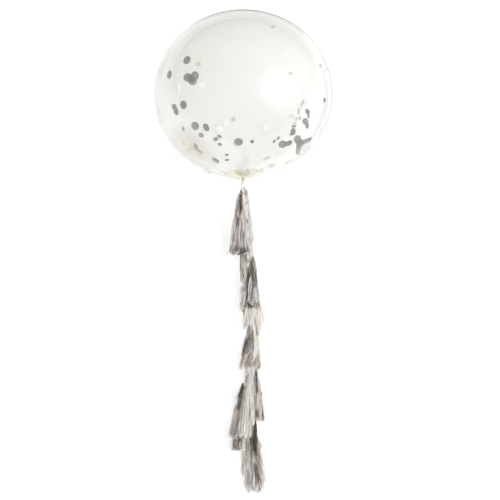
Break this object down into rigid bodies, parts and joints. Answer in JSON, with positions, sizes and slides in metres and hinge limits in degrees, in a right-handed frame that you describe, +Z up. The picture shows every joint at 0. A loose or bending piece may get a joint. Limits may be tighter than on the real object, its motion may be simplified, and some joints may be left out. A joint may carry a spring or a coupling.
{
  "type": "balloon with tassel garland",
  "caption": "Large clear confetti balloon with a knotted neck and a twine garland of grey and cream paper tassels, lying on the ground.",
  "frame": {"origin": "middle of the flat spot on the underside of the balloon, on the ground", "axes": "+Z up from the ground; the balloon's neck and the garland run out along -Y; +X to the right when looking along +Y"},
  "size_m": [0.914, 2.3833, 0.8924],
  "materials": {
    "latex": "gloss",
    "twine": "matt",
    "grey": "satin",
    "cream": "matt"
  },
  "bodies": {
    "root": {"balloon": "latex", "garland_twine": "twine", "grey_tassel_1": "grey", "grey_tassel_2": "grey", "grey_tassel_3": "grey", "grey_tassel_4": "grey", "grey_tassel_5": "grey", "grey_tassel_6": "grey", "grey_tassel_7": "grey", "cream_tassel_1": "cream", "cream_tassel_2": "cream", "cream_tassel_3": "cream", "cream_tassel_4": "cream", "cream_tassel_5": "cream"}
  },
  "joints": []
}
